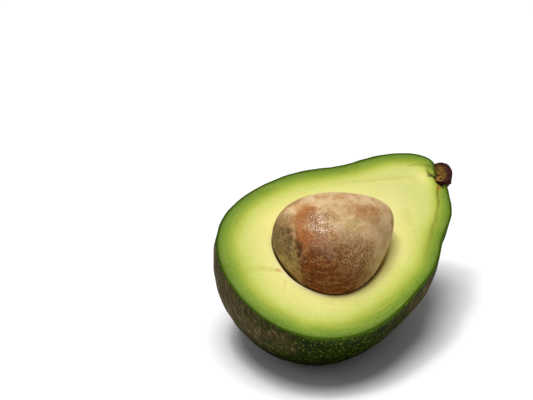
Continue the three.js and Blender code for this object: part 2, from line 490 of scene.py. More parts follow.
def flesh_colour(tree, depth):
    stops = [(place / DEEPEST_LAYER, colour) for place, colour in FLESH_LAYERS]
    return ramp(tree, maths(tree, "DIVIDE", depth, DEEPEST_LAYER), stops)


def colour_setting(name, description, colour):
    return FloatVectorProperty(name=name, description=description, default=colour, subtype="COLOR")


def length_setting(name, description, length):
    return FloatProperty(name=name, description=description, default=length, unit="LENGTH")


def number_setting(name, description, number, **kind):
    return FloatProperty(name=name, description=description, default=number, **kind)


def count_setting(name, description, count):
    return IntProperty(name=name, description=description, default=count, min=20)


class SkinSettings(bpy.types.PropertyGroup):
    peel: length_setting("Peel", "Thickness of the skin at the cut", 0.9 * MM)
    pebble_height: length_setting("Pebble height", "Height of the small bumps on the skin", 0.05 * MM)
    pebble_size: length_setting("Pebble size", "Distance from one small bump to the next", 1.9 * MM)
    fleck_pitch: length_setting("Fleck pitch", "Distance between the pale flecks", 1.05 * MM)
    green: colour_setting("Green", "Main colour of the skin", srgb(27, 43, 3))
    dark_green: colour_setting("Dark green", "Colour between the bumps", srgb(12, 22, 1))
    brown: colour_setting("Brown", "Colour of the ripe brownish patches", srgb(64, 52, 25))
    fleck: colour_setting("Fleck", "Colour of the pale flecks", srgb(132, 144, 40))
    around: count_setting("Steps around", "Faces round the rim", 840)
    down: count_setting("Steps down", "Faces from the rim to the lowest point", 190)


class FleshSettings(bpy.types.PropertyGroup):
    around: count_setting("Steps around", "Faces round the cut face", 840)
    across: count_setting("Steps across", "Faces from the seed to the rim", 150)
    unevenness: length_setting("Unevenness", "Height of the waves that the knife left", 0.1 * MM)
    gap: length_setting("Gap", "Gap between the seed and its hollow", 0.3 * MM)
    strand: colour_setting("Strand", "Colour of the browned strands near the stem", srgb(112, 100, 22))
    rust: colour_setting("Rust", "Colour of the small rusty spots", srgb(196, 132, 50))


class SeedSettings(bpy.types.PropertyGroup):
    detail: IntProperty(name="Detail", description="Times the ball is divided", default=8, min=3, max=8)
    coat: length_setting("Coat", "Thickness of the papery coat at its torn edges", 0.22 * MM)
    tan: colour_setting("Tan", "Colour of the pale upper side", srgb(238, 204, 158))
    orange: colour_setting("Orange", "Colour where the coat is worn through", srgb(172, 98, 34))
    rust: colour_setting("Rust", "Colour of the reddish lower side", srgb(126, 63, 12))
    olive: colour_setting("Olive", "Colour of the bare patch at the blunt side", srgb(180, 156, 92))


class ButtonSettings(bpy.types.PropertyGroup):
    detail: count_setting("Detail", "Faces along and across", 150)
    rind_width: length_setting("Rind", "Width of the dark rind on its cut", 1.5 * MM)
    rind: colour_setting("Rind colour", "Colour of the rind", srgb(48, 12, 10))
    wood: colour_setting("Wood colour", "Colour of the cut", srgb(74, 48, 10))


class StageSettings(bpy.types.PropertyGroup):
    floor_size: length_setting("Floor size", "Side of the square floor", 6.0)
    floor_colour: colour_setting("Floor colour", "Colour of the floor", (0.95, 0.95, 0.95))
    lens: number_setting("Lens", "Focal length of the camera, in mm", 81.05)
    key_strength: number_setting("Key", "Brightness of the overhead light", 2.48)
    key_spread: number_setting("Key spread", "How wide that light looks", math.radians(34), subtype="ANGLE")
    lamp_power: number_setting("Lamp", "Power of the small sharp light", 0.9, unit="POWER")
    side_power: number_setting("Side power", "Power of the light at the left", 0.35, unit="POWER")
    sky: number_setting("Sky", "Brightness of the even light", 0.22)


def skin_material(settings):
    material, tree, shader = new_material("avocado_skin")
    place = object_place(tree)
    depth = mask(tree, "under_skin")
    fine = mottle(tree, place, 1.6 * MM, 0.38, 0.62)
    blotches = mottle(tree, place, 9 * MM, 0.42, 0.66)
    brown = times(tree, mask(tree, "ripening"), plus(tree, 0.5, blotches))
    brown = between(tree, brown, 0.05, 0.85)
    green_part = graded(tree, 1.0, brown, -0.6)
    streak = stretched_texture(tree, place, (900.0, 900.0, 170.0), 3.0)
    # Pale grey-brown streaks on the brown patches: partly the skin's own streaks, partly a painted sheen
    pale_streak_and_sheen = times(tree, between(tree, streak, 0.48, 0.74), brown)
    rim = maths(tree, "SUBTRACT", mask(tree, "near_cut"), mask(tree, "ripening"))
    large = flecks(tree, place, settings.fleck_pitch, 0.38, 0.05)
    small = flecks(tree, place, settings.fleck_pitch * 0.5, 0.36, 0.35)
    paleness = times(tree, graded(tree, 0.08, large["Tone"], 0.52), green_part)
    cut = between(tree, depth, 0.05 * MM, 0.3 * MM)
    layers = (
        (fine, 1, settings.green),
        (brown, 1, settings.brown),
        # Streaks with a painted sheen
        (pale_streak_and_sheen, 0.6, srgb(136, 118, 82)),
        (maths(tree, "MAXIMUM", rim, 0.0), 0.75, srgb(70, 96, 16)),
        (large["Mask"], paleness, settings.fleck),
        (times(tree, small["Mask"], green_part), 0.3, settings.fleck),
        # Painted shade: the skin is darkened towards the spot that it rests on
        ("painted_contact_shade", 0.85, srgb(6, 10, 1)),
        (cut, 1, flesh_colour(tree, depth)),
    )
    grain = texture(tree, place, 1400.0, 5.0)
    pits = plus(tree, times(tree, grain, 0.5), times(tree, large["Mask"], 0.6))
    looks = {
        "Base Color": layered(tree, settings.dark_green, layers),
        "Roughness": graded(tree, 0.33, fine, 0.14),
        "Normal": bump(tree, pits, 0.12 * MM, 0.8),
        "Specular IOR Level": 0.0,
        "Coat Weight": 0.08,
        "Coat Roughness": 0.28,
    }
    feed(tree, shader, looks)
    return material


def flesh_material(settings):
    material, tree, shader = new_material("avocado_flesh")
    place = object_place(tree)
    depth = mask(tree, "under_skin")
    drift = texture(tree, place, 75.0, 3.0)
    wander = times(tree, maths(tree, "SUBTRACT", drift, 0.5), 3.2 * MM)
    wander = times(tree, wander, between(tree, depth, 0.6 * MM, 3.0 * MM))
    spread_depth = maths(tree, "DIVIDE", depth, mask(tree, "band_spread"))
    banded = flesh_colour(tree, plus(tree, spread_depth, wander))

    # Fibres run round the seed, so their noise is stretched along the ring
    ring = {"X": mask(tree, "ring_along"), "Y": mask(tree, "ring_across")}
    ring_place = node(tree, "ShaderNodeCombineXYZ", ring).outputs[0]
    thread = stretched_texture(tree, ring_place, (55.0, 900.0, 1.0), 4.0)
    fibre = times(tree, between(tree, thread, 0.52, 0.72), mask(tree, "fibrous"))
    inner = between(tree, depth, 5 * MM, 11 * MM)
    soft = times(tree, mottle(tree, place, 11 * MM, 0.4, 0.7, 0.5), inner)
    # Wet spots: glossier, and lightened towards white as a painted glisten
    wet_and_glisten = mottle(tree, place, 0.8 * MM, 0.35, 0.65, 0.7)
    layers = (
        (fibre, 0.3, srgb(214, 190, 100)),
        (soft, 0.3, srgb(214, 208, 108)),
        (times(tree, mask(tree, "towards_stem"), inner), 0.75, srgb(200, 203, 114)),
        # Painted glisten on the wet spots
        (wet_and_glisten, graded(tree, 0.05, inner, 0.1), srgb(250, 244, 196)),
        ("yellow_strand", 0.55, srgb(182, 172, 62)),
        ("dark_strand", plus(tree, 0.45, thread), settings.strand),
        ("rusty", 1, settings.rust),
        # Painted highlight on the flesh's edge along the gap round the seed
        ("painted_edge_highlight", 0.5, srgb(248, 240, 196)),
        # Painted shade on the flesh where it dips beside the seed
        ("painted_lip_shade", 0.8, srgb(196, 172, 84)),
        # Dark cracks near the stem, which also hold painted shade beside and under the stem button
        ("crack_and_shade", 1, srgb(44, 26, 3)),
        ("hollow", 1, srgb(120, 88, 30)),
    )
    grain = texture(tree, place, 1500.0, 4.0)
    height = plus(tree, times(tree, grain, 0.6), times(tree, thread, 0.4))
    looks = {
        "Base Color": layered(tree, banded, layers),
        "Normal": bump(tree, height, 0.09 * MM, 0.55),
        "Roughness": graded(tree, 0.32, wet_and_glisten, 0.14),
        "Specular IOR Level": 0.16,
        "Subsurface Weight": 0.15,
        "Subsurface Radius": (1.0, 0.9, 0.35),
        "Subsurface Scale": 1.2 * MM,
    }
    feed(tree, shader, looks)
    return material


def seed_material(settings):
    material, tree, shader = new_material("avocado_seed")
    place = object_place(tree)
    medium = mottle(tree, place, 4.5 * MM, 0.42, 0.62, 0.65)
    fine = mottle(tree, place, 1.3 * MM, 0.4, 0.6, 0.75)
    flakes = mottle(tree, place, 0.55 * MM, 0.42, 0.6, 0.8)
    worn = mottle(tree, place, 1.8 * MM, 0.36, 0.62, 0.7)
    frosting = times(tree, flakes, mask(tree, "frosted"))
    specks = flecks(tree, place, 0.8 * MM, 0.4, 0.35)["Mask"]
    spots = flecks(tree, place, 1.5 * MM, 0.6, 0.2)["Mask"]
    layers = (
        (medium, 1, srgb(204, 156, 104)),
        # Rust on the side facing down: the coat's own red-brown, deepened as painted shade
        ("rusty", 1, mix(tree, fine, settings.rust, srgb(90, 40, 5))),
        ("orange", 1, mix(tree, fine, settings.orange, srgb(150, 80, 22))),
        ("yellowish", 1, srgb(194, 170, 102)),
        ("dull", 1, srgb(150, 118, 73)),
        ("bare", 0.85, mix(tree, worn, srgb(126, 96, 50), settings.olive)),
        ("tarnished", graded(tree, 0.92, worn, -0.35), srgb(78, 57, 24)),
        (frosting, 0.6, srgb(224, 188, 130)),
        (specks, 0.14, srgb(96, 52, 18)),
        ("crease", 0.5, srgb(112, 60, 22)),
        ("ridge", graded(tree, 0.08, flakes, 0.3), srgb(204, 158, 92)),
        ("spotted", times(tree, spots, 0.4), srgb(92, 56, 24)),
        # The scar, and painted shade on the seed's edge at the widest gap
        ("scar", 1, srgb(86, 50, 18)),
    )
    moist = mask(tree, "moist")
    crumple = texture(tree, place, 1300.0, 5.0)
    beads = flecks(tree, place, 0.62 * MM, 0.6, 0.05)["Mask"]
    height = plus(tree, times(tree, crumple, 0.8), times(tree, beads, graded(tree, 0.5, moist, 1.2)))
    height = graded(tree, height, frosting, 0.5)
    looks = {
        "Base Color": layered(tree, settings.tan, layers),
        "Normal": bump(tree, height, 0.22 * MM, 0.9),
        "Roughness": graded(tree, graded(tree, 0.56, fine, 0.12), moist, -0.44),
        "Specular IOR Level": graded(tree, 0.1, moist, 0.75),
    }
    feed(tree, shader, looks)
    return material


def button_material(settings):
    material, tree, shader = new_material("avocado_stem_button")
    place = object_place(tree)
    blotch = mottle(tree, place, 1.5 * MM, 0.35, 0.65, 0.7)
    pores = flecks(tree, place, 0.8 * MM, 0.35, 0.35)["Mask"]
    grain = texture(tree, place, 1800.0, 5.0)
    layers = (
        (blotch, 1, srgb(58, 22, 12)),
        ("wood", 1, mix(tree, blotch, settings.wood, srgb(130, 96, 28))),
        # Painted highlight on the button's cut
        ("painted_highlight", 1, srgb(158, 118, 62)),
        (pores, 0.6, srgb(40, 22, 4)),
        # Near black in the pits: painted shade inside them
        ("pit_and_shade", 1, srgb(18, 9, 2)),
    )
    looks = {
        "Base Color": layered(tree, settings.rind, layers),
        "Normal": bump(tree, graded(tree, grain, pores, -0.5), 0.2 * MM, 0.9),
        "Roughness": graded(tree, 0.5, blotch, 0.25),
        "Specular IOR Level": 0.12,
    }
    feed(tree, shader, looks)
    return material


def floor_material(settings):
    material, tree, shader = new_material("floor")
    looks = {
        "Base Color": opaque(settings.floor_colour),
        "Roughness": 0.9,
        "Specular IOR Level": 0.1,
    }
    feed(tree, shader, looks)
    return material


def rim_angles(count):
    return np.arange(count) * (2 * math.pi / count)


def skin_ring(longitudes, dip, inset, settings):
    """One ring of the skin: its outer face with pebbles, or its smooth inner face."""
    d = direction(longitudes, np.full(len(longitudes), dip))
    normal = skin_normal(d)
    points = smooth_skin(d)
    if inset == 0:
        size = settings.pebble_size
        pebbles = noise_at(points, size, 1) + 0.5 * noise_at(points, size / 2, 2)
        lift = low_relief(points) + settings.pebble_height * pebbles
        points = points + normal * lift[:, None]
    points = settle(points) - normal * inset
    if dip == 0:
        points[:, 2] = 0
    return points


def ripe_patches(points):
    """Where the skin ripens to brown: at its blunt end, and on the side below the cut."""
    drift = 6 * MM * noise_at(points, 10 * MM, 40) + 3 * MM * noise_at(points, 3 * MM, 41)
    x, y, z = points.T + drift
    blunt = smoothstep(-36 * MM, -56 * MM, x - 0.3 * y) * smoothstep(-34 * MM, -12 * MM, z)
    side = smoothstep(-32 * MM, -8 * MM, x) * smoothstep(36 * MM, 6 * MM, x)
    side = side * smoothstep(-10 * MM, -26 * MM, y) * smoothstep(-22 * MM, -5 * MM, z)
    blunt = blunt * smoothstep(0.8 * MM, -1.0 * MM, points[:, 2])
    return np.maximum(blunt, side * smoothstep(-0.5 * MM, -2.5 * MM, points[:, 2]))


class AVOCADO_OT_skin(bpy.types.Operator):
    """Adds the thin pebbled skin of the half"""

    bl_idname = "avocado.skin"
    bl_label = "Skin"

    def execute(self, context):
        settings = context.scene.avocado_skin
        longitudes = rim_angles(settings.around)
        dips = np.linspace(0, math.pi / 2, settings.down + 1)[:-1]
        outer = [skin_ring(longitudes, dip, 0.0, settings) for dip in dips]
        inner = [skin_ring(longitudes, dip, settings.peel, settings) for dip in dips[::4]]
        steps = np.linspace(0, 1, 8)[1:-1]
        rim = [outer[0] * (1 - share) + inner[0] * share for share in steps]
        rings = outer[::-1] + rim + inner
        depths = [np.zeros(settings.around)] * len(outer)
        depths += [np.full(settings.around, share * settings.peel) for share in steps]
        depths += [np.full(settings.around, settings.peel)] * len(inner)
        points, faces = ringed_body(rings)
        masks = {
            "under_skin": ring_values(depths),
            "ripening": ripe_patches(points),
            "near_cut": np.exp(points[:, 2] / (1.1 * MM)),
            # Painted shade, strongest within a few mm of the resting spot and gone 15 mm above it
            "painted_contact_shade": smoothstep(15 * MM, 3 * MM, (points - REST_CENTRE) @ UP),
        }
        material = skin_material(settings)
        add_piece("avocado_skin", to_world(points), faces, masks, material, "skin")
        return {"FINISHED"}


# Strands on the cut face: width in mm, then x and y in mm in the fruit's frame with the strength there
DARK_STRANDS = (
    (1.0, ((38.6, -4.4, 0.9), (36.5, -6.1, 0.8), (32.7, -9.8, 0.6), (27.3, -13.3, 0.45))),
    (
        1.3,
        (
            (27.3, -13.3, 0.42),
            (22.9, -16.2, 0.42),
            (17.8, -19.0, 0.35),
            (12.1, -22.5, 0.2),
            (5.9, -25.9, 0.0),
        ),
    ),
    (0.6, ((36.6, 10.0, 0.0), (38.5, 9.2, 0.4), (42.6, 6.8, 0.6), (44.9, 2.9, 0.8))),
    (0.5, ((38.6, 8.2, 0.0), (41.2, 6.4, 0.5), (43.6, 3.6, 0.8))),
    (0.5, ((42.6, 8.0, 0.2), (43.2, 5.4, 0.7), (43.8, 3.2, 0.8))),
)
YELLOW_STRANDS = (
    (0.8, ((8.4, 19.4, 0.1), (15.1, 16.0, 0.45), (22.3, 11.7, 0.6), (29.0, 7.8, 0.7), (35.3, 3.5, 0.2))),
    (1.8, ((22.0, 11.8, 0.0), (29.0, 7.8, 0.45), (34.6, 4.4, 0.0))),
    (1.7, ((-46.0, 11.8, 0.0), (-42.7, 9.0, 0.4), (-39.6, 6.5, 0.6), (-36.2, 2.5, 0.4))),
    (2.6, ((16.5, -4.0, 0.0), (18.1, -6.6, 0.3), (16.2, -9.6, 0.25), (13.0, -16.0, 0.0))),
    (0.7, ((-30.0, -20.0, 0.0), (-26.0, -23.4, 0.35), (-20.0, -26.4, 0.15), (-10.0, -28.4, 0.0))),
    (0.6, ((-36.0, -15.0, 0.0), (-33.0, -19.5, 0.3), (-28.0, -24.0, 0.25), (-22.0, -27.0, 0.0))),
    (1.5, ((41.8, 3.6, 0.3), (42.2, 1.8, 0.7), (41.4, 0.2, 0.5))),
)
# Some of these cracks beside the stem button stand in for its shade: partly painted shade
CRACKS = (
    (1.1, ((41.8, 3.6, 0.2), (40.7, 1.7, 0.7), (40.8, -0.5, 1.0), (40.1, -2.6, 1.0), (39.6, -4.2, 1.0))),
    (1.3, ((38.9, 1.4, 0.0), (39.8, 0.9, 0.7), (40.6, 0.2, 1.0))),
    (1.2, ((39.9, -3.2, 0.8), (39.5, -4.8, 1.0), (39.2, -6.0, 0.8), (38.9, -7.2, 0.0))),
)
RUSTY_SPOTS = (
    (0.8, ((-36.5, 2.8, 0.7), (-36.1, 1.5, 0.6))),
    (0.6, ((-37.6, -2.1, 0.2), (-41.3, -5.8, 0.1))),
    (1.1, ((38.4, -5.0, 0.4), (36.6, -6.4, 0.15))),
)
GRAINY_STRIP = ((12.0, ((-36.0, -17.0, 1.0), (-20.0, -30.0, 1.0))),)
SEED_GAP_BEARING = math.radians(182)
SHADED_LIP_BEARING = math.radians(-68)
WIDE_BAND_BEARING = math.radians(163)
LOW_BAND_BEARING = math.radians(-144)
STEM_CORE = np.array([38.5, 1.0, 0.0]) * MM
STEM_CORE_WIDTH = 5.5 * MM
CRACK_DEPTH = 0.12 * MM
STRAND_DEPTH = 0.08 * MM
BUTTON_SOCKET_DEPTH = 3.2 * MM
HOLLOW_RINGS = 28
BACK_RINGS = 48
OFF_THE_FACE = {"under_skin": 2 * MM, "band_spread": 1.0}


def strands(points, routes):
    return np.max([strand_mask(points, route, width * MM) for width, route in routes], axis=0)


def around_bearing(bearing, centre, width):
    """Soft bump from 0 to 1 round one bearing."""
    off = (bearing - centre + math.pi) % (2 * math.pi) - math.pi
    return np.exp(-((off / width) ** 2))


def distance_to(curve, points):
    """Distance of each point to a dense closed curve."""
    tree = kdtree.KDTree(len(curve))
    for index, place in enumerate(curve):
        tree.insert(Vector(place), index)
    tree.balance()
    return np.array([tree.find(Vector(p))[2] for p in points])


def button_place(points):
    """Height along the stem button's axis and distance across it, on the cut face."""
    axis = np.array([math.cos(BUTTON_ANGLE), math.sin(BUTTON_ANGLE), 0])
    offset = points - BUTTON_CENTRE
    return offset @ axis, offset @ np.cross([0, 0, 1], axis)


def button_reach(height):
    """Radius of the stem button at a height along its axis, as two half ovals that meet."""
    up = np.clip((height - BUTTON_WIDEST) / (BUTTON_TOP - BUTTON_WIDEST), 0, 1)
    down = np.clip((BUTTON_WIDEST - height) / (BUTTON_WIDEST - BUTTON_BOTTOM), 0, 1)
    return BUTTON_RADIUS * np.sqrt(1 - up**2.4) * np.sqrt(1 - down**2.2)


def cut_edge(flat, middle, peel):
    """The skin's line on the cut, and the flesh's edge in flat directions from the seed's middle."""
    dense = direction(rim_angles(4000), np.zeros(4000))
    skin_line = smooth_skin(dense) * [1, 1, 0]
    peeled = skin_line - skin_normal(dense) * peel * [1, 1, 0]
    offset = peeled - middle
    bearing = np.arctan2(offset[:, 1], offset[:, 0])
    order = np.argsort(bearing)
    reach = np.interp(
        np.arctan2(flat[:, 1], flat[:, 0]),
        bearing[order],
        np.linalg.norm(offset, axis=1)[order],
        period=2 * math.pi,
    )
    return skin_line, middle + flat * reach[:, None]


def face_masks(points, depth, from_hole, around_seed):
    """Masks of the cut face, from its points, their depths, and their distances from the hollow."""
    bearing = np.arctan2(points[:, 1], points[:, 0])
    wide = 0.22 * around_bearing(bearing, WIDE_BAND_BEARING, 0.4)
    wide = wide + 0.14 * around_bearing(bearing, LOW_BAND_BEARING, 0.5)
    from_core = np.linalg.norm(points - STEM_CORE, axis=1)
    core = np.exp(-((from_core / STEM_CORE_WIDTH) ** 2))
    warp = np.stack([noise_at(points, 4 * MM, 20), noise_at(points, 4 * MM, 21)], -1)
    wandering = points[:, :2] + 0.5 * MM * warp
    lip_side = around_bearing(around_seed, SHADED_LIP_BEARING, 0.95)
    # Side of the hollow that takes the painted highlight
    highlight_side = around_bearing(around_seed, SEED_GAP_BEARING + 0.2, 0.75)
    return {
        "under_skin": depth,
        "band_spread": 1 + wide - 0.58 * core,
        "hollow": 1 - smoothstep(0, 0.25 * MM, from_hole),
        "ring_along": around_seed * 30 * MM,
        "ring_across": from_hole,
        "fibrous": 0.35 + 0.65 * strands(points, GRAINY_STRIP),
        "dark_strand": strands(wandering, DARK_STRANDS),
        "yellow_strand": strands(wandering, YELLOW_STRANDS),
        "crack_and_shade": strands(wandering, CRACKS),
        "rusty": strands(wandering, RUSTY_SPOTS),
        # Painted shade on the sunken lip beside the seed
        "painted_lip_shade": lip_side * (1 - smoothstep(0, 2.2 * MM, from_hole)) ** 1.5,
        # Painted highlight: a pale sliver along the hollow's edge
        "painted_edge_highlight": highlight_side * (1 - smoothstep(0.3 * MM, 2.2 * MM, from_hole)),
        "towards_stem": smoothstep(4 * MM, 30 * MM, points[:, 0]),
    }


def socket_of_button(points):
    """Where the cut face gives way to the stem button, with a ragged inner edge."""
    along, across = button_place(points)
    ragged = 0.5 * MM * noise_at(points, 1.3 * MM, 22)
    beside = smoothstep(0.3 * MM, -0.3 * MM, np.abs(across) - button_reach(along))
    return beside * smoothstep(-0.3 * MM, 0.3 * MM, along - BUTTON_BURIED + ragged)


class AVOCADO_OT_flesh(bpy.types.Operator):
    """Adds the flesh with its cut face and the hollow round the seed"""

    bl_idname = "avocado.flesh"
    bl_label = "Flesh"

    def execute(self, context):
        settings = context.scene.avocado_flesh
        peel = context.scene.avocado_skin.peel
        around = settings.around
        angles = rim_angles(around)
        flat = np.stack([np.cos(angles), np.sin(angles), np.zeros(around)], -1)
        middle = SEED_CENTRE * [1, 1, 0]
        skin_line, edge = cut_edge(flat, middle, peel)
        gap = settings.gap * (0.14 + 1.0 * around_bearing(angles, SEED_GAP_BEARING, 0.25))
        hole = hollow_point(middle, flat, gap)

        rings = []
        for dip in np.linspace(math.pi / 2, 0, HOLLOW_RINGS + 2)[1:-1]:
            rings.append(hollow_point(middle, flat * math.cos(dip) - [0, 0, math.sin(dip)], gap))
        shares = (1 - np.cos(np.linspace(0, math.pi, settings.across))) / 2
        shares = 0.5 * shares + 0.5 * np.linspace(0, 1, settings.across)
        rings += [hole + (edge - hole) * share for share in shares]
        outward = np.arctan2(edge[:, 1], edge[:, 0])
        for dip in np.linspace(0, math.pi / 2, BACK_RINGS + 2)[1:-1]:
            d = direction(outward, np.full(around, dip))
            rings.append(settle(smooth_skin(d)) - skin_normal(d) * peel)
        points, faces = ringed_body(rings)

        start, count = HOLLOW_RINGS * around, settings.across * around
        on_face = slice(start, start + count)
        face_points = points[on_face].copy()
        depth = distance_to(skin_line, face_points)
        from_hole = distance_to(hole, face_points)
        around_seed = np.tile(angles, settings.across)
        shown = face_masks(face_points, depth, from_hole, around_seed)

        height = noise_at(face_points, 9 * MM, 3) + 0.35 * noise_at(face_points, 2.2 * MM, 4)
        inner_edge = smoothstep(0, 1.5 * MM, from_hole)
        outer_edge = smoothstep(peel, 2.5 * MM, depth)
        lift = settings.unevenness * height * inner_edge * outer_edge
        lift = lift - CRACK_DEPTH * shown["crack_and_shade"] - STRAND_DEPTH * shown["dark_strand"]
        near_hole = 1 - smoothstep(0, 2.2 * MM, from_hole)
        lip_side = around_bearing(around_seed, SHADED_LIP_BEARING, 0.95)
        lift = lift - (0.15 + 0.8 * lip_side) * MM * near_hole**2
        in_button = socket_of_button(face_points)
        points[on_face, 2] += lift - BUTTON_SOCKET_DEPTH * in_button
        # The button's socket is painted dark too: painted shade between the button and the flesh
        shown["crack_and_shade"] = np.maximum(shown["crack_and_shade"], in_button)

        masks = {name: np.full(len(points), OFF_THE_FACE.get(name, 0.0)) for name in shown}
        for name, values in shown.items():
            masks[name][on_face] = values
        masks["hollow"][:start] = 1
        material = flesh_material(settings)
        add_piece("avocado_flesh", to_world(points), faces, masks, material, "flesh")
        return {"FINISHED"}


def near_direction(d, centre, width, softness, warp):
    """Mask round a direction on the seed, with an edge that wanders by the warp."""
    angle = np.arccos(np.clip(d @ unit(np.array(centre)), -1, 1)) + warp
    return 1 - smoothstep(width - softness, width + softness, angle)


def patch_mask(d, spots, warp):
    """How strongly each direction on the seed lies in one of the spots."""
    return np.max([strength * near_direction(d, *spot, warp) for strength, *spot in spots], axis=0)


# Patches on the seed: strength, direction in the seed's frame, half width and soft edge in radians
SEED_PATCHES = {
    "orange": (
        (0.9, (-0.42, 0.14, 0.9), 0.27, 0.12),
        (0.95, (-0.6, -0.16, 0.78), 0.22, 0.1),
        (0.7, (0.46, -0.2, 0.86), 0.14, 0.08),
        (0.6, (0.56, -0.4, 0.72), 0.2, 0.1),
        (0.4, (-0.38, -0.32, 0.87), 0.16, 0.12),
        (0.35, (-0.3, -0.06, 0.95), 0.2, 0.14),
    ),
    "yellowish": (
        (0.7, (0.04, -0.42, 0.9), 0.06, 0.07),
        (0.6, (0.17, -0.44, 0.88), 0.06, 0.07),
        (0.45, (0.25, -0.94, 0.15), 0.3, 0.2),
        (0.6, (-0.97, -0.12, 0.18), 0.24, 0.16),
    ),
    "dull": (
        (0.95, (-0.74, 0.42, 0.53), 0.36, 0.14),
        (0.25, (0.85, -0.45, 0.3), 0.4, 0.2),
        (0.6, (0.6, -0.62, 0.5), 0.3, 0.22),
        (0.6, (-0.4, 0.66, 0.63), 0.22, 0.14),
    ),
    "tarnished": (
        (1.0, (-0.88, 0.2, 0.45), 0.28, 0.12),
        (0.9, (-0.85, -0.06, 0.52), 0.16, 0.08),
        (1.0, (-0.86, 0.42, 0.28), 0.34, 0.12),
    ),
    "frosted": ((0.8, (0.05, -0.8, 0.59), 0.34, 0.24),),
    "scar": (
        (0.45, (-0.68, 0.14, 0.72), 0.04, 0.05),
        (0.6, (-0.69, -0.02, 0.73), 0.05, 0.05),
        (0.8, (-0.72, -0.09, 0.69), 0.05, 0.05),
        (0.95, (-0.76, -0.16, 0.63), 0.055, 0.05),
        (0.95, (-0.81, -0.22, 0.54), 0.055, 0.05),
        (0.9, (-0.84, -0.28, 0.47), 0.05, 0.05),
        (0.8, (-0.84, -0.36, 0.41), 0.05, 0.05),
        (0.6, (-0.83, -0.43, 0.35), 0.045, 0.05),
    ),
    "spotted": (
        (1.0, (-0.74, 0.1, 0.64), 0.16, 0.1),
        (0.4, (-0.85, -0.15, 0.5), 0.3, 0.14),
        (0.15, (0.85, -0.42, 0.32), 0.42, 0.2),
    ),
    "moist": ((1.0, (-0.28, -0.08, 0.95), 0.26, 0.14), (0.6, (-0.5, -0.35, 0.79), 0.2, 0.14)),
}
# Side of the seed that faces down, where the rust colour also holds painted shade
SEED_SHADED_LOW_SIDE = (-0.55, -0.78, 0.29)
FOLD_DIRECTION = (0.68, -0.72, 0.14)
GAP_SHADE_BEARING = math.radians(160)
BARE_PATCH = ((-0.93, 0.0, 0.37), 0.37)
WRINKLE_DEPTH = 0.16 * MM
SCAR_DEPTH = 0.16 * MM
SEED_SHRINKAGE = 0.03 * MM


def coat_folds(points):
    """Waves of the coat's fine folds, drawn out along the way that they run."""
    wander = 0.8 * MM * np.stack([noise_at(points, 4 * MM, 30 + axis) for axis in range(3)], -1)
    moved = points + wander
    along = unit(np.array(FOLD_DIRECTION))
    drawn_out = moved - 0.8 * (moved @ along)[:, None] * along
    return noise_at(drawn_out, 1.25 * MM, 8) + 0.4 * noise_at(points, 0.7 * MM, 9)


def scar_and_gap_shade_mask(d, points, patch):
    """Broken dark scar in its patch, and painted shade on the seed's edge where the gap is widest."""
    broken = 0.5 + 0.5 * smoothstep(-0.3, 0.15, noise_at(d, 0.13, 16))
    offset = points - SEED_CENTRE
    rim_side = around_bearing(np.arctan2(offset[:, 1], offset[:, 0]), GAP_SHADE_BEARING, 0.55)
    # Painted shade where the seed drops into the widest gap
    gap_edge_shade = rim_side * smoothstep(1.5 * MM, 0.3 * MM, points[:, 2])
    return np.maximum(patch * broken, 0.75 * gap_edge_shade)


def seed_masks(d, points):
    """Masks of the seed for its directions and their places, and the depth of its wrinkles."""
    ragged = 0.5 * noise_at(d, 0.2, 6) + 0.3 * noise_at(d, 0.07, 7)
    warp = 0.13 * noise_at(d, 0.55, 5) + 0.2 * ragged
    patches = {name: patch_mask(d, spots, 1.2 * warp) for name, spots in SEED_PATCHES.items()}
    towards_low = d @ unit(np.array(SEED_SHADED_LOW_SIDE))
    # The side facing down takes the rust colour: partly the coat's own red-brown, partly painted shade
    low = smoothstep(0.52, 0.9, towards_low + 0.8 * warp)
    folded = 0.25 + 0.75 * smoothstep(0.45, 0.75, towards_low + warp)
    fold = coat_folds(points)
    frosted = 0.4 + 0.5 * smoothstep(-0.5, 0.25, d[:, 0] + warp) - 0.3 * smoothstep(0.85, 1.0, low)
    masks = {
        **patches,
        "bare": near_direction(d, *BARE_PATCH, 0.05, warp),
        "rusty": low,
        "frosted": np.clip(frosted + patches["frosted"] - 0.25 * patches["orange"], 0, 1.3),
        "crease": folded * smoothstep(0.12, 0.0, np.abs(fold)),
        "ridge": folded * smoothstep(0.0, 0.34, fold) * (1 - 0.6 * smoothstep(0.4, 0.7, fold)),
        "scar": 0.95 * scar_and_gap_shade_mask(d, points, patches["scar"]),
    }
    return masks, WRINKLE_DEPTH * folded * (0.6 - np.minimum(np.abs(fold), 0.6))


class AVOCADO_OT_seed(bpy.types.Operator):
    """Adds the seed with its mottled papery coat"""

    bl_idname = "avocado.seed"
    bl_label = "Seed"

    def execute(self, context):
        settings = context.scene.avocado_seed
        ball = bmesh.new()
        bmesh.ops.create_icosphere(ball, subdivisions=settings.detail, radius=1)
        d = unit(np.array([v.co for v in ball.verts]))
        faces = [[v.index for v in f.verts] for f in ball.faces]
        ball.free()
        points = seed_surface(d)
        masks, wrinkles = seed_masks(d, points)
        sunk = wrinkles + settings.coat * masks["bare"] + SCAR_DEPTH * masks["scar"] + SEED_SHRINKAGE
        outwards = unit((d / [1, 1, SEED_FLATTENING]) @ SEED_AXES.T)
        points = points - outwards * sunk[:, None]
        material = seed_material(settings)
        add_piece("avocado_seed", to_world(points), faces, masks, material, "seed")
        return {"FINISHED"}


# Pits in the cut of the stem button: radius, height along its axis and distance across, in mm
BUTTON_PITS = ((0.5, 0.0, -1.0), (0.7, 0.8, -2.9), (0.5, -0.4, 1.6))
BUTTON_PIT_DEPTH = 0.8 * MM
BUTTON_WOOD_DEPTH = 0.45 * MM
BUTTON_BURIED_DEPTH = 2.2 * MM
BUTTON_ROUGHNESS = 0.2 * MM
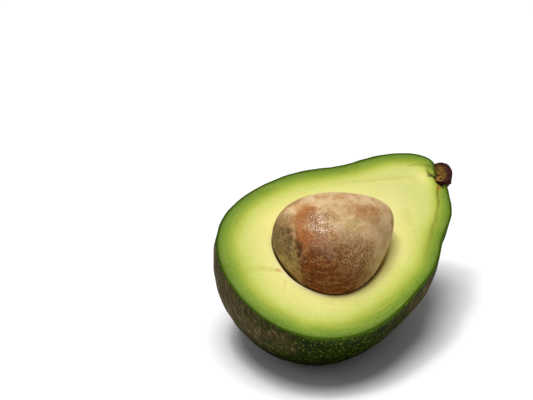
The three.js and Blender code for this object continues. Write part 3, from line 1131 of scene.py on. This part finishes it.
# Middle of the painted highlight on the button's cut
BUTTON_HIGHLIGHT_PLACE = (0.3 * MM, -3.2 * MM)
BUTTON_TAIL = np.array([3.7, -4.0, 0.6]) * MM
BUTTON_TAIL_PULL = np.array([0.4, -1.4, -0.1]) * MM
BUTTON_TAIL_WIDTH = 0.7 * MM


def from_cut_outline(heights, cut, flat_points):
    """Distance of points on the button's cut to the outline of that cut."""
    half = np.sqrt(np.maximum(button_reach(heights) ** 2 - cut**2, 0))
    sides = [np.stack([heights, side, np.zeros_like(heights)], -1) for side in (half, -half)]
    return distance_to(np.concatenate(sides), flat_points)


def button_masks(along, across, inward, uneven, rind_width):
    """Wood inside the dark rind, a painted highlight in it, and its pits with their painted shade, as if
    all were on the cut.
    """
    outwards = smoothstep(-1 * MM, 3.5 * MM, along)
    rind = rind_width * (0.4 + 1.1 * outwards + 0.4 * uneven)
    from_highlight = np.hypot(along - BUTTON_HIGHLIGHT_PLACE[0], across - BUTTON_HIGHLIGHT_PLACE[1]) + 0.6 * MM * uneven
    # Pits are dented, and painted near black as painted shade inside them
    pit_and_shade = np.zeros_like(along)
    for radius, height, place in BUTTON_PITS:
        gone = np.hypot(along - height * MM, across - place * MM) / (radius * MM)
        pit_and_shade = np.maximum(pit_and_shade, 1 - smoothstep(0.35, 1.0, gone))
    return {
        "wood": smoothstep(0.55, 1.5, inward / rind),
        "painted_highlight": 0.8 * (1 - smoothstep(0.5 * MM, 1.7 * MM, from_highlight)),
        "pit_and_shade": pit_and_shade,
    }


def two_sided_faces(count):
    """Faces of two square grids of points, of which the second looks the other way."""
    index = np.arange(count * count).reshape(count, count)
    corners = [index[:-1, :-1], index[:-1, 1:], index[1:, 1:], index[1:, :-1]]
    upper = np.stack(corners, -1).reshape(-1, 4)
    lower = upper[:, [0, 3, 2, 1]] + count * count
    return np.concatenate([upper, lower]).tolist()


def weld_seam(mesh):
    """Joins the points where the two sides of a mesh meet."""
    weld = bmesh.new()
    weld.from_mesh(mesh)
    bmesh.ops.remove_doubles(weld, verts=weld.verts, dist=0.002 * MM)
    bmesh.ops.recalc_face_normals(weld, faces=weld.faces)
    weld.to_mesh(mesh)
    weld.free()


class AVOCADO_OT_stem_button(bpy.types.Operator):
    """Adds the half of the woody stem button that the knife left"""

    bl_idname = "avocado.stem_button"
    bl_label = "Stem button"

    def execute(self, context):
        settings = context.scene.avocado_button
        count = settings.detail
        spaced = np.cos(np.linspace(0, math.pi, count))
        heights = BUTTON_BOTTOM + (BUTTON_TOP - BUTTON_BOTTOM) * ((1 - spaced) / 2)
        along, side = np.meshgrid(heights, -spaced, indexing="ij")
        reach = button_reach(along)
        across = side * reach
        wall = np.sqrt(np.maximum(reach**2 - across**2, 0))
        cut = BUTTON_CUT_HEIGHT + along * math.tan(BUTTON_CUT_RISE)
        flat_points = np.stack([along, across, np.zeros_like(along)], -1).reshape(-1, 3)
        inward = from_cut_outline(heights, cut[:, 0], flat_points).reshape(along.shape)
        uneven = noise_at(flat_points, 1.6 * MM, 13).reshape(along.shape)
        shown = button_masks(along, across, inward, uneven, settings.rind_width)
        shown = {name: values * (wall > cut) for name, values in shown.items()}

        buried = smoothstep(0.5 * MM, -0.6 * MM, along - BUTTON_BURIED + 0.5 * MM * uneven)
        upper = np.minimum(cut, wall) - BUTTON_WOOD_DEPTH * shown["wood"]
        upper = np.maximum(upper - BUTTON_BURIED_DEPTH * buried, -wall)
        edge = np.ones_like(along)
        edge[:, [0, -1]] = 0
        edge[[0, -1], :] = 0
        edge = (edge * smoothstep(0, 0.6 * MM, wall + upper)).ravel()
        top = np.stack([along, across, upper], -1).reshape(-1, 3)
        bottom = np.stack([along, across, -wall], -1).reshape(-1, 3)
        rough = noise_at(top, 1.4 * MM, 10) + 0.5 * noise_at(top, 0.5 * MM, 11)
        top[:, 2] += (BUTTON_ROUGHNESS * rough - BUTTON_PIT_DEPTH * shown["pit_and_shade"].ravel()) * edge
        bottom = bottom * (1 + 0.03 * noise_at(bottom, 1.6 * MM, 12) * edge)[:, None]

        local = np.concatenate([top, bottom])
        from_tail = np.linalg.norm(local - BUTTON_TAIL, axis=1)
        tail = np.exp(-((from_tail / BUTTON_TAIL_WIDTH) ** 2))
        local = local + tail[:, None] * BUTTON_TAIL_PULL
        turn = np.array(Matrix.Rotation(BUTTON_ANGLE, 3, "Z"))
        points = to_world(local @ turn.T + BUTTON_CENTRE)
        underneath = np.zeros(count * count)
        masks = {name: np.concatenate([values.ravel(), underneath]) for name, values in shown.items()}
        faces = two_sided_faces(count)
        material = button_material(settings)
        piece = add_piece("avocado_stem_button", points, faces, masks, material, "stem_button")
        weld_seam(piece.data)
        return {"FINISHED"}


# The camera looks from the photograph's side, and the target shows at this pixel of its 533 x 400 frame
CAMERA_AZIMUTH = math.radians(-46.62)
CAMERA_ELEVATION = math.radians(25)
CAMERA_DISTANCE = 416.4 * MM
CAMERA_TARGET = np.array([-2.51, 5.07, 0.0]) * MM
TARGET_PIXEL = (341.6, 220.5)
IMAGE_CENTRE = (266.5, 200.0)
FOCAL_PIXELS = 1200.0


# Lights: azimuth and elevation in degrees, distance, and height of the place that they point at
LIGHTS = {
    "key": (-95, 83, 2.0, 0.0),
    "lamp": (-110, 78, 0.8, 0.05),
    "side": (-137, 22, 0.8, 0.03),
}
LAMP_SIZE = 0.11
SIDE_SIZE = 0.5


def look_direction(azimuth, elevation):
    """Direction from the object to a viewer or light at this azimuth and elevation, in degrees."""
    a, e = math.radians(azimuth), math.radians(elevation)
    return Vector((math.sin(a) * math.cos(e), -math.cos(a) * math.cos(e), math.sin(e)))


def add_light(name, kind, energy, **shape):
    light = bpy.data.lights.new(name, kind)
    light.energy = energy
    for setting, value in shape.items():
        setattr(light, setting, value)
    holder = bpy.data.objects.new(name, light)
    bpy.context.collection.objects.link(holder)
    azimuth, elevation, distance, target_height = LIGHTS[name]
    holder.location = look_direction(azimuth, elevation) * distance
    aim = Vector((0, 0, target_height)) - holder.location
    holder.rotation_mode = "QUATERNION"
    holder.rotation_quaternion = aim.to_track_quat("-Z", "Y")


class AVOCADO_OT_stage(bpy.types.Operator):
    """Adds the pale floor, the soft lights and the camera"""

    bl_idname = "avocado.stage"
    bl_label = "Stage"

    def execute(self, context):
        settings = context.scene.avocado_stage
        half = settings.floor_size / 2
        mesh = bpy.data.meshes.new("floor")
        corners = [(-half, -half, 0), (half, -half, 0), (half, half, 0), (-half, half, 0)]
        mesh.from_pydata(corners, [], [(0, 1, 2, 3)])
        mesh.materials.append(floor_material(settings))
        floor = bpy.data.objects.new("floor", mesh)
        context.collection.objects.link(floor)

        world = bpy.data.worlds.new("studio")
        world.use_nodes = True
        background = world.node_tree.nodes["Background"]
        background.inputs["Color"].default_value = (1, 1, 1, 1)
        background.inputs["Strength"].default_value = settings.sky
        context.scene.world = world
        add_light("key", "SUN", settings.key_strength, angle=settings.key_spread)
        add_light("lamp", "AREA", settings.lamp_power, shape="DISK", size=LAMP_SIZE)
        add_light("side", "AREA", settings.side_power, size=SIDE_SIZE)

        back = look_direction(math.degrees(CAMERA_AZIMUTH), math.degrees(CAMERA_ELEVATION))
        right = Vector((math.cos(CAMERA_AZIMUTH), math.sin(CAMERA_AZIMUTH), 0))
        up = back.cross(right)
        target = Vector(to_world(CAMERA_TARGET[None])[0])
        aim = -back * FOCAL_PIXELS
        aim += right * (IMAGE_CENTRE[0] - TARGET_PIXEL[0])
        aim += up * (TARGET_PIXEL[1] - IMAGE_CENTRE[1])
        camera = bpy.data.objects.new("camera", bpy.data.cameras.new("camera"))
        context.collection.objects.link(camera)
        camera.data.lens = settings.lens
        camera.data.sensor_width = 36
        camera.data.clip_start = 0.01
        camera.location = target + back * CAMERA_DISTANCE
        camera.rotation_mode = "QUATERNION"
        camera.rotation_quaternion = (-back).rotation_difference(aim) @ (-back).to_track_quat("-Z", "Y")
        context.scene.camera = camera
        context.scene.view_settings.view_transform = "Standard"
        return {"FINISHED"}


class AVOCADO_PT_pieces(bpy.types.Panel):
    """Lists the pieces of the halved avocado"""

    bl_idname = "AVOCADO_PT_pieces"
    bl_label = "Halved Avocado"
    bl_space_type = "VIEW_3D"
    bl_region_type = "UI"
    bl_category = "Avocado"

    def draw(self, context):
        for operator in OPERATORS:
            self.layout.operator(operator.bl_idname)


SETTINGS = {
    "avocado_skin": SkinSettings,
    "avocado_flesh": FleshSettings,
    "avocado_seed": SeedSettings,
    "avocado_button": ButtonSettings,
    "avocado_stage": StageSettings,
}
OPERATORS = (AVOCADO_OT_skin, AVOCADO_OT_flesh, AVOCADO_OT_seed, AVOCADO_OT_stem_button, AVOCADO_OT_stage)


def register():
    for name, group in SETTINGS.items():
        bpy.utils.register_class(group)
        setattr(bpy.types.Scene, name, PointerProperty(type=group))
    for operator in OPERATORS:
        bpy.utils.register_class(operator)
    bpy.utils.register_class(AVOCADO_PT_pieces)


def unregister():
    bpy.utils.unregister_class(AVOCADO_PT_pieces)
    for operator in reversed(OPERATORS):
        bpy.utils.unregister_class(operator)
    for name, group in SETTINGS.items():
        delattr(bpy.types.Scene, name)
        bpy.utils.unregister_class(group)


def main():
    register()
    bpy.ops.avocado.skin()
    bpy.ops.avocado.flesh()
    bpy.ops.avocado.seed()
    bpy.ops.avocado.stem_button()
    bpy.ops.avocado.stage()


if __name__ == "__main__":
    main()
